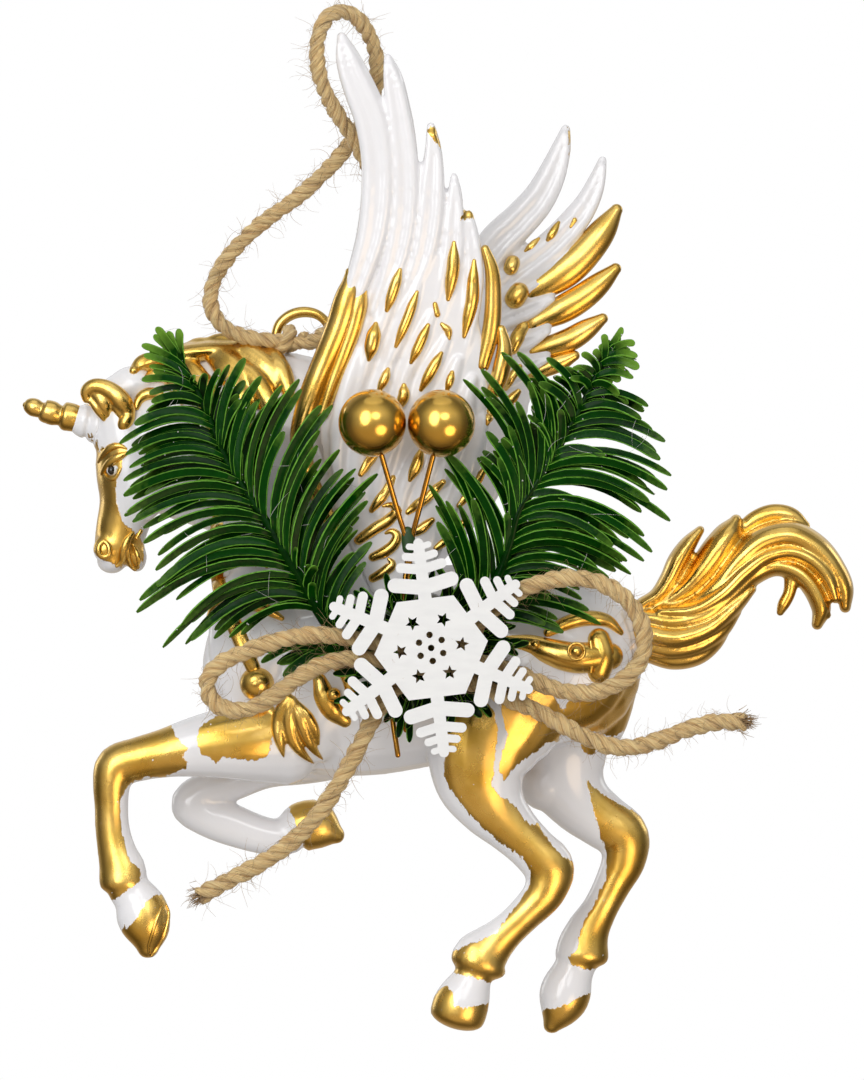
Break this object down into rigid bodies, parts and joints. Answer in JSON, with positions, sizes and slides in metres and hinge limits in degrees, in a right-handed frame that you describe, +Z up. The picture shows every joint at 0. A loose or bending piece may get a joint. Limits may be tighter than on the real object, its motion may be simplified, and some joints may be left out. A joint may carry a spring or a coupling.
{
  "type": "hanging unicorn ornament",
  "caption": "Winged unicorn hanging ornament with evergreen sprigs, a snowflake, balls and a twine bow on its flank, hung from a twine loop.",
  "frame": {"origin": "centre of the moulded hanging eye on the crest of the neck", "axes": "+Z up as it hangs, +X towards the tail, +Y towards the far side, the decorated flank faces -Y"},
  "size_m": [0.1464, 0.0533, 0.1817],
  "materials": {
    "white_plastic": "glossy white with gold painted areas",
    "gold_paint": "satin gold paint over plastic",
    "black_enamel": "glossy black paint",
    "clear_glue": "cloudy set glue",
    "needle_green": "glossy dark green with paler edges",
    "gold_mirror": "mirror gold",
    "gold_wire": "bright",
    "green_tape": "matt",
    "white_wood": "thin plywood painted white, dark cut edges",
    "jute": "natural twisted twine"
  },
  "bodies": {
    "root": {"near_body_half": "white_plastic", "far_body_half": "white_plastic", "horn": "gold_paint", "near_ear": "gold_paint", "far_ear": "gold_paint", "near_eye": "black_enamel", "far_eye": "black_enamel", "near_rump_strap": "gold_paint", "far_rump_strap": "gold_paint", "near_saddle_band": "gold_paint", "far_saddle_band": "gold_paint", "near_collar": "gold_paint", "far_collar": "gold_paint", "near_chest_ball": "gold_paint", "far_chest_ball": "gold_paint", "mane": "gold_paint", "near_foreleg": "white_plastic", "far_foreleg": "white_plastic", "near_hindleg": "white_plastic", "far_hindleg": "white_plastic", "tail": "gold_paint", "near_wing": "white_plastic", "far_wing": "white_plastic", "hanging_eye": "gold_paint", "glue_pad": "clear_glue", "left_sprig": "needle_green", "right_sprig": "needle_green", "left_ball": "gold_mirror", "right_ball": "gold_mirror", "left_ball_wire": "gold_wire", "right_ball_wire": "gold_wire", "binding_tape": "green_tape", "snowflake": "white_wood", "bow_left_loop": "jute", "bow_right_loop": "jute", "bow_left_tail": "jute", "bow_right_tail": "jute", "bow_knot": "jute", "hanging_cord": "jute", "hanging_knot": "jute"}
  },
  "joints": []
}
